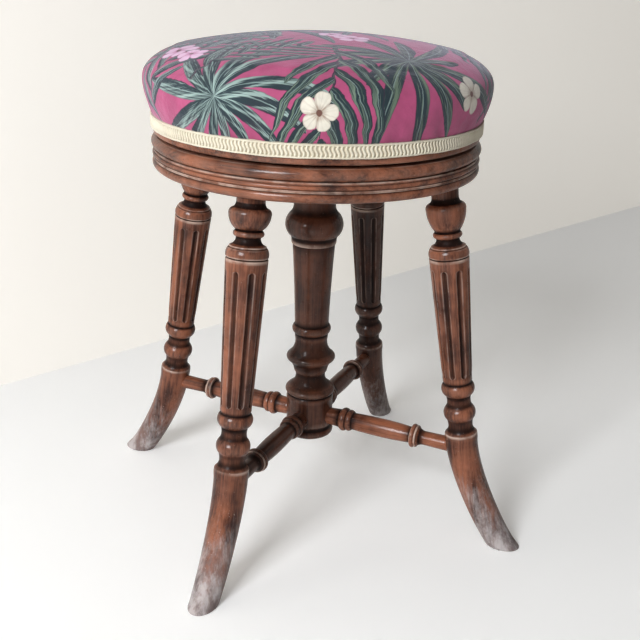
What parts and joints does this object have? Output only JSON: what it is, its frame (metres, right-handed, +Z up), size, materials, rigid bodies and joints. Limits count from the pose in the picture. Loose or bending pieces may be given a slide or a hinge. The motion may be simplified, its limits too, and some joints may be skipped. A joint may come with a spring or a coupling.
{
  "type": "revolving piano stool",
  "caption": "Victorian revolving piano stool: round padded seat on a screw spindle, moulded round top frame, splayed fluted legs with outswept feet, turned column and stretchers.",
  "frame": {"origin": "on the floor, in the middle of the feet, under the column's axis", "axes": "+Z up along the column; the legs stand on +X (right), +Y (back), -X (left) and -Y (front)"},
  "size_m": [0.5186, 0.5186, 0.531],
  "materials": {
    "mahogany": "worn French polish",
    "seat_timber": "oiled",
    "iron": "blackened, lightly rusted",
    "steel_screw": "oiled thread",
    "printed_cotton": "printed cotton, matt",
    "stuffing": "wadding over hair",
    "gimp_braid": "woven cotton gimp"
  },
  "bodies": {
    "base": {"top_frame": "mahogany", "column": "mahogany", "nut_plate": "iron", "nut_plate_screws": "iron", "leg_front": "mahogany", "leg_right": "mahogany", "leg_back": "mahogany", "leg_left": "mahogany", "stretcher_front": "mahogany", "stretcher_right": "mahogany", "stretcher_back": "mahogany", "stretcher_left": "mahogany"},
    "riser": {"stop_washer": "iron"},
    "seat": {"screw_spindle": "steel_screw", "spindle_stop": "iron", "seat_plate": "iron", "seat_plate_screws": "iron", "seat_board": "seat_timber", "seat_stuffing": "stuffing", "seat_cover": "printed_cotton", "braid": "gimp_braid"}
  },
  "joints": [
    {"name": "seat_rise", "type": "slide", "parent": "base", "child": "riser", "axis": [0, 0, 1], "range_m": [0, 0.12]},
    {"name": "seat_turn", "type": "hinge", "parent": "riser", "child": "seat", "pos_m": [0, 0, 0.434], "axis": [0, 0, 1], "range_deg": [0, 3600]}
  ],
  "couplings": [
    {"joint": "seat_rise", "follows": "seat_turn", "m_per_rad": 0.0019098}
  ]
}
